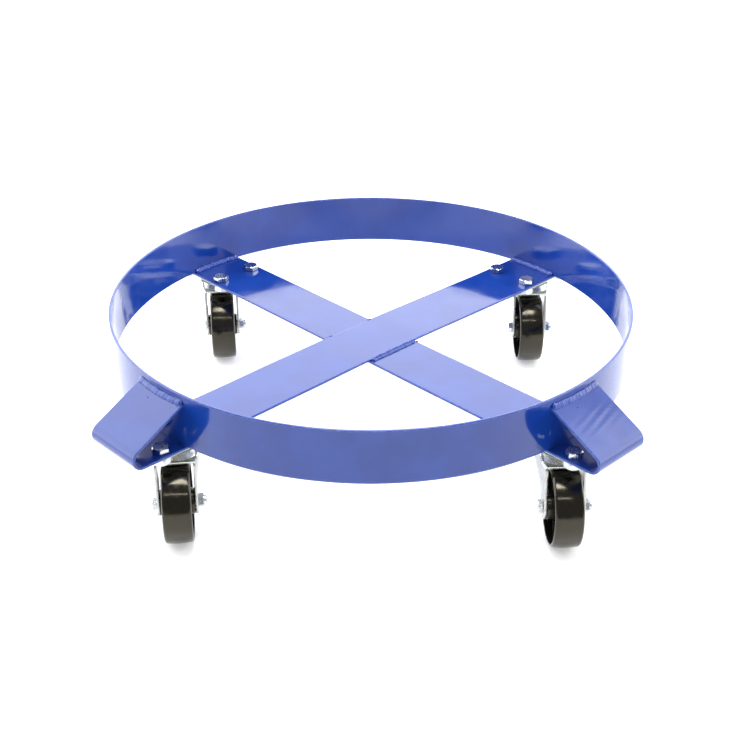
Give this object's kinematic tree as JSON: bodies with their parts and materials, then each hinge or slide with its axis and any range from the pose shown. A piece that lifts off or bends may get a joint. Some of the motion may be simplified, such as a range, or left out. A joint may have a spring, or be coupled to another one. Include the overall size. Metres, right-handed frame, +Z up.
{
  "type": "drum dolly",
  "caption": "Low round steel dolly: a flat ring band holds a drum over crossed flat bars, folded into loops at the ends, on swivel casters.",
  "frame": {"origin": "on the floor, under the middle of the ring", "axes": "+Z up; +X along the upper cross bar, towards the pictured back right; +Y along the lower cross bar, towards the pictured back left"},
  "size_m": [0.738, 0.738, 0.178],
  "materials": {
    "blue_paint": "glossy royal blue enamel",
    "blue_weld": "painted weld bead",
    "zinc_sheet": "bright zinc plate",
    "zinc_race": "dull greenish zinc plate",
    "zinc_fastener": "bright zinc plate",
    "ball_steel": "polished steel",
    "black_wheel": "moulded black, slightly glossy"
  },
  "bodies": {
    "frame": {"ring_band": "blue_paint", "cross_bar_upper": "blue_paint", "cross_bar_lower": "blue_paint", "ring_weld_beads": "blue_weld", "loop_weld_beads": "blue_weld", "centre_weld_beads": "blue_weld", "plate_bolts": "zinc_fastener", "plate_nuts": "zinc_fastener", "front_left_top_plate": "zinc_sheet", "front_left_dust_ring": "zinc_race", "front_left_lower_race": "zinc_race", "front_left_king_pin": "zinc_race", "front_left_bearing_balls": "ball_steel", "front_right_top_plate": "zinc_sheet", "front_right_dust_ring": "zinc_race", "front_right_lower_race": "zinc_race", "front_right_king_pin": "zinc_race", "front_right_bearing_balls": "ball_steel", "back_left_top_plate": "zinc_sheet", "back_left_dust_ring": "zinc_race", "back_left_lower_race": "zinc_race", "back_left_king_pin": "zinc_race", "back_left_bearing_balls": "ball_steel", "back_right_top_plate": "zinc_sheet", "back_right_dust_ring": "zinc_race", "back_right_lower_race": "zinc_race", "back_right_king_pin": "zinc_race", "back_right_bearing_balls": "ball_steel"},
    "front_left_fork_turning": {"front_left_swivel_fork": "zinc_sheet", "front_left_axle_bolt": "zinc_fastener", "front_left_axle_nut": "zinc_fastener", "front_left_axle_sleeve": "ball_steel"},
    "front_left_wheel_turning": {"front_left_wheel": "black_wheel"},
    "front_right_fork_turning": {"front_right_swivel_fork": "zinc_sheet", "front_right_axle_bolt": "zinc_fastener", "front_right_axle_nut": "zinc_fastener", "front_right_axle_sleeve": "ball_steel"},
    "front_right_wheel_turning": {"front_right_wheel": "black_wheel"},
    "back_left_fork_turning": {"back_left_swivel_fork": "zinc_sheet", "back_left_axle_bolt": "zinc_fastener", "back_left_axle_nut": "zinc_fastener", "back_left_axle_sleeve": "ball_steel"},
    "back_left_wheel_turning": {"back_left_wheel": "black_wheel"},
    "back_right_fork_turning": {"back_right_swivel_fork": "zinc_sheet", "back_right_axle_bolt": "zinc_fastener", "back_right_axle_nut": "zinc_fastener", "back_right_axle_sleeve": "ball_steel"},
    "back_right_wheel_turning": {"back_right_wheel": "black_wheel"}
  },
  "joints": [
    {"name": "front_left_swivel", "type": "hinge", "parent": "frame", "child": "front_left_fork_turning", "pos_m": [-0.2925, 0, 0.1], "axis": [0, 0, 1], "continuous": true},
    {"name": "front_left_wheel_spin", "type": "hinge", "parent": "front_left_fork_turning", "child": "front_left_wheel_turning", "pos_m": [-0.31116, -0.02476, 0.045], "axis": [0.7986, -0.6018, 0], "continuous": true},
    {"name": "front_right_swivel", "type": "hinge", "parent": "frame", "child": "front_right_fork_turning", "pos_m": [0, -0.2925, 0.1], "axis": [0, 0, 1], "continuous": true},
    {"name": "front_right_wheel_spin", "type": "hinge", "parent": "front_right_fork_turning", "child": "front_right_wheel_turning", "pos_m": [-0.02054, -0.31572, 0.045], "axis": [0.749, -0.6626, 0], "continuous": true},
    {"name": "back_left_swivel", "type": "hinge", "parent": "frame", "child": "back_left_fork_turning", "pos_m": [0, 0.2925, 0.1], "axis": [0, 0, 1], "continuous": true},
    {"name": "back_left_wheel_spin", "type": "hinge", "parent": "back_left_fork_turning", "child": "back_left_wheel_turning", "pos_m": [-0.01887, 0.26791, 0.045], "axis": [0.7934, -0.6088, 0], "continuous": true},
    {"name": "back_right_swivel", "type": "hinge", "parent": "frame", "child": "back_right_fork_turning", "pos_m": [0.2925, 0, 0.1], "axis": [0, 0, 1], "continuous": true},
    {"name": "back_right_wheel_spin", "type": "hinge", "parent": "back_right_fork_turning", "child": "back_right_wheel_turning", "pos_m": [0.27136, -0.02267, 0.045], "axis": [0.7314, -0.682, 0], "continuous": true}
  ]
}
